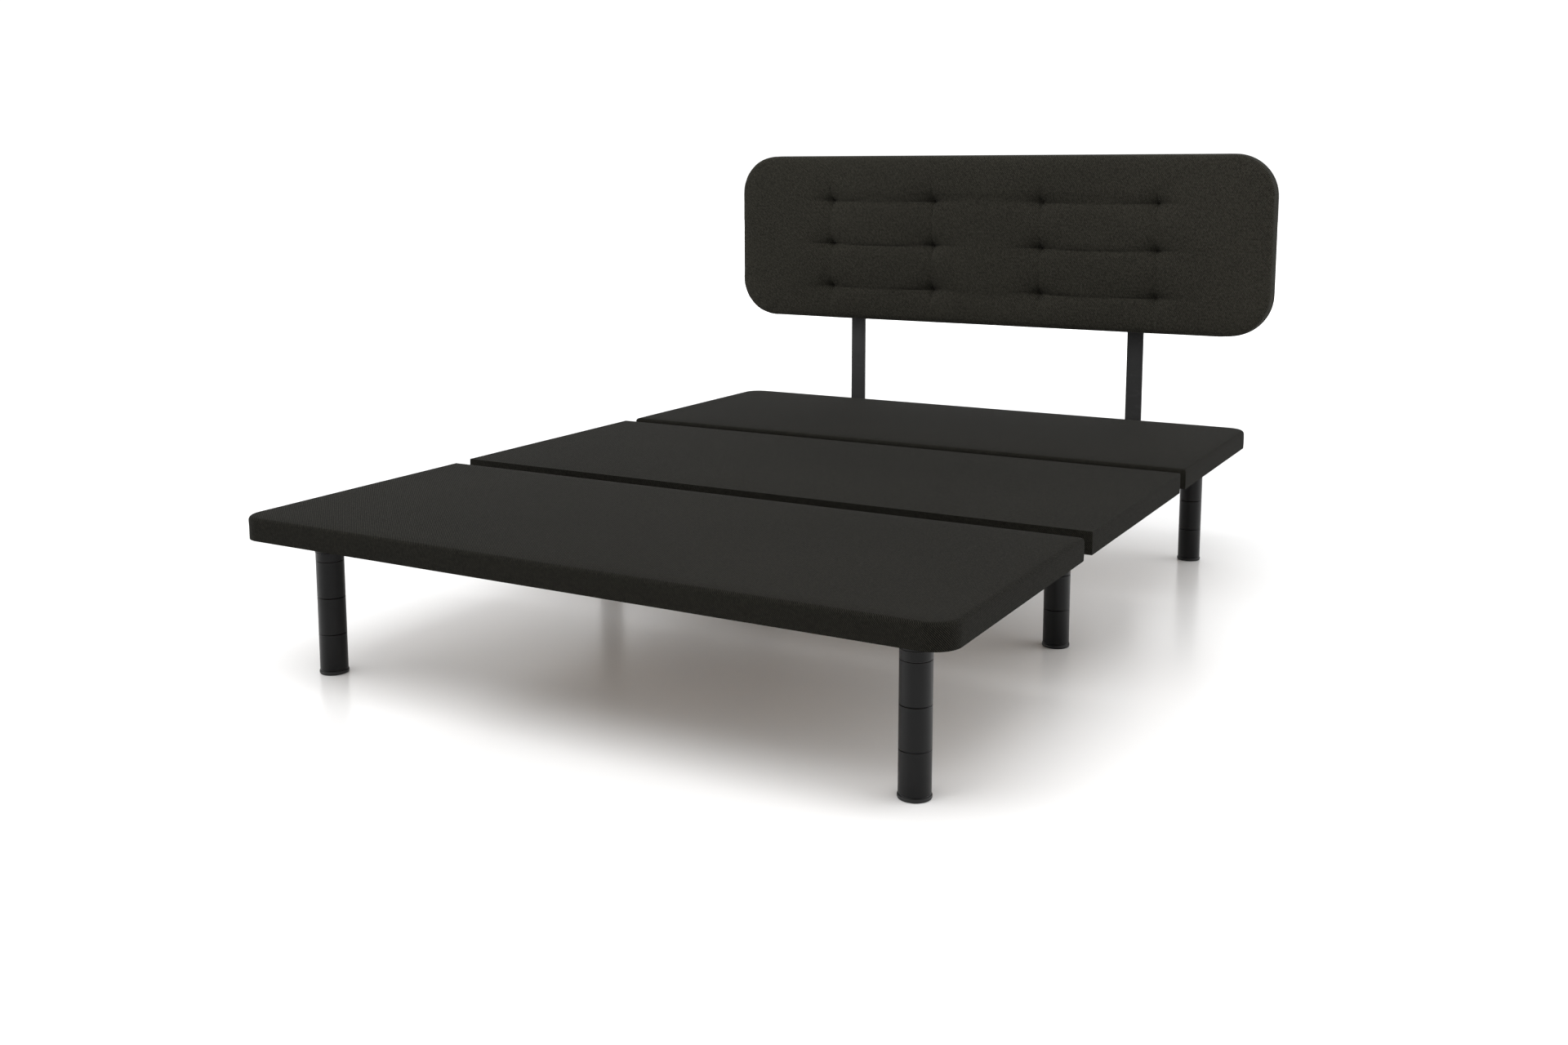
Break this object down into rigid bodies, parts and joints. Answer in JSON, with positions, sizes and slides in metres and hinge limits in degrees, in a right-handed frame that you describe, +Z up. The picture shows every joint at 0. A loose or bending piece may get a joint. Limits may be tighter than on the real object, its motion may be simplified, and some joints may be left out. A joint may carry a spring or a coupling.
{
  "type": "adjustable bed base",
  "caption": "Upholstered adjustable bed base with lifting head and foot sections, round segmented legs, hidden linear actuators and a tufted headboard.",
  "frame": {"origin": "on the floor, under the middle of the whole bed: the deck with the headboard behind it", "axes": "+X from the sleeper's left to right when seen from the foot end, +Y from the foot end to the head end, +Z up"},
  "size_m": [1.614, 2.1126, 1.067],
  "materials": {
    "deck_twill": "charcoal diagonal twill upholstery",
    "headboard_twill": "charcoal twill upholstery, tufted",
    "plywood": "sanded plywood",
    "frame_paint": "black powder coat",
    "leg_paint": "satin black paint",
    "glide_plastic": "moulded plastic",
    "bright_steel": "bright zinc plate",
    "motor_plastic": "moulded housing",
    "box_plastic": "fine textured housing"
  },
  "bodies": {
    "chassis": {"leg_head_left_glide": "glide_plastic", "leg_head_left_lower": "leg_paint", "leg_head_left_middle": "leg_paint", "leg_head_left_upper": "leg_paint", "leg_head_right_glide": "glide_plastic", "leg_head_right_lower": "leg_paint", "leg_head_right_middle": "leg_paint", "leg_head_right_upper": "leg_paint", "leg_middle_left_glide": "glide_plastic", "leg_middle_left_lower": "leg_paint", "leg_middle_left_middle": "leg_paint", "leg_middle_left_upper": "leg_paint", "leg_middle_right_glide": "glide_plastic", "leg_middle_right_lower": "leg_paint", "leg_middle_right_middle": "leg_paint", "leg_middle_right_upper": "leg_paint", "leg_foot_left_glide": "glide_plastic", "leg_foot_left_lower": "leg_paint", "leg_foot_left_middle": "leg_paint", "leg_foot_left_upper": "leg_paint", "leg_foot_right_glide": "glide_plastic", "leg_foot_right_lower": "leg_paint", "leg_foot_right_middle": "leg_paint", "leg_foot_right_upper": "leg_paint", "chassis_rail_left": "frame_paint", "chassis_rail_right": "frame_paint", "chassis_crossbar_head": "frame_paint", "chassis_crossbar_foot": "frame_paint", "chassis_crossbar_middle": "frame_paint", "seat_beam_head": "frame_paint", "seat_beam_foot": "frame_paint", "hinge_shaft_head": "bright_steel", "hinge_shaft_foot": "bright_steel", "seat_board": "plywood", "seat_cover": "deck_twill", "head_motor": "motor_plastic", "head_actuator_tube": "frame_paint", "foot_motor": "motor_plastic", "foot_actuator_tube": "frame_paint", "control_box": "box_plastic", "headboard_cushion": "headboard_twill", "headboard_board": "plywood", "headboard_post_left": "frame_paint", "headboard_post_right": "frame_paint"},
    "head_section": {"head_lever_bar": "frame_paint", "head_far_bar": "frame_paint", "head_arm_left": "frame_paint", "head_arm_right": "frame_paint", "head_board": "plywood", "head_cover": "deck_twill"},
    "foot_section": {"foot_lever_bar": "frame_paint", "foot_far_bar": "frame_paint", "foot_arm_left": "frame_paint", "foot_arm_right": "frame_paint", "foot_board": "plywood", "foot_cover": "deck_twill"},
    "head_push_rod": {"head_rod": "bright_steel"},
    "foot_push_rod": {"foot_rod": "bright_steel"}
  },
  "joints": [
    {"name": "head_lift", "type": "hinge", "parent": "chassis", "child": "head_section", "pos_m": [0, 0.3067, 0.303], "axis": [1, 0, 0], "range_deg": [0, 60]},
    {"name": "foot_lift", "type": "hinge", "parent": "chassis", "child": "foot_section", "pos_m": [0, -0.3873, 0.303], "axis": [-1, 0, 0], "range_deg": [0, 40]},
    {"name": "head_rod_slide", "type": "slide", "parent": "chassis", "child": "head_push_rod", "axis": [0, 1, 0], "range_m": [0, 0.0802]},
    {"name": "foot_rod_slide", "type": "slide", "parent": "chassis", "child": "foot_push_rod", "axis": [0, -1, 0], "range_m": [0, 0.055]}
  ],
  "couplings": [
    {"joint": "head_rod_slide", "follows": "head_lift", "m_per_rad": 0.076394},
    {"joint": "foot_rod_slide", "follows": "foot_lift", "m_per_rad": 0.078385}
  ]
}
